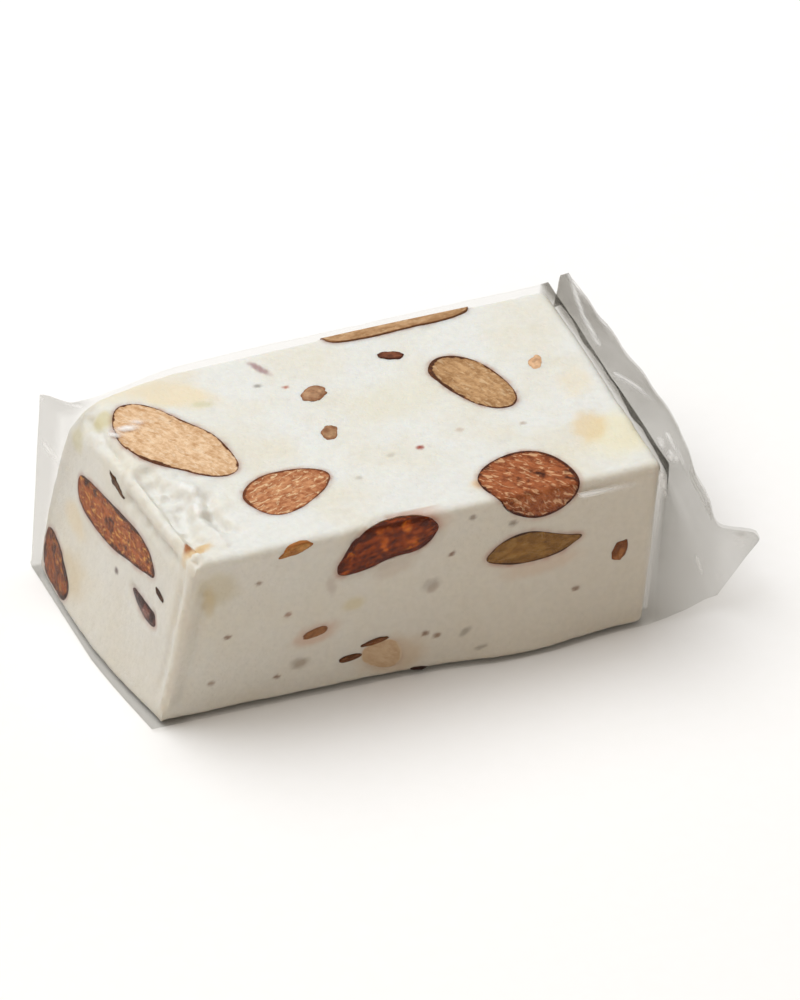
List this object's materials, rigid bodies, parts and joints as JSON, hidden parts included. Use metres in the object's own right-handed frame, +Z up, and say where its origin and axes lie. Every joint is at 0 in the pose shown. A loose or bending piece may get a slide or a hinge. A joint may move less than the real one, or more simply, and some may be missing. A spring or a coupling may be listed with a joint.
{
  "type": "wrapped nougat slice",
  "caption": "Block of soft white nougat cut from a bar, with whole and cut almonds flush in its faces, in a snug clear film pinched to a flat seam at one end.",
  "frame": {"origin": "centre of the part's box in X and Y, on its underside in Z, where the film's flat bottom rests", "axes": "+X along the slice towards the film's seam, +Y towards the slice's back, +Z up"},
  "size_m": [0.1084, 0.0704, 0.0327],
  "materials": {
    "nougat": "soft, finely porous, white to pale cream",
    "cut_almond": "dry cut kernel with a brown skin round it",
    "almond_skin": "thin, finely ridged brown skin",
    "clear_film": "thin clear plastic film, glossy and creased"
  },
  "bodies": {
    "root": {"nougat": "nougat", "almond_top_big": "cut_almond", "almond_top_left": "cut_almond", "almond_top_right": "cut_almond", "almond_top_edge": "almond_skin", "almond_top_back": "cut_almond", "almond_front_dark": "almond_skin", "almond_front_right": "cut_almond", "almond_front_low": "cut_almond", "almond_left_long": "cut_almond", "almond_left_low": "cut_almond", "almond_left_sliver": "almond_skin", "almond_back_left": "cut_almond", "almond_back_mid": "almond_skin", "almond_back_right": "cut_almond", "almond_right_high": "cut_almond", "almond_right_low": "cut_almond", "almond_under_left": "cut_almond", "almond_under_mid": "cut_almond", "almond_under_right": "cut_almond", "wrapper": "clear_film"}
  },
  "joints": []
}
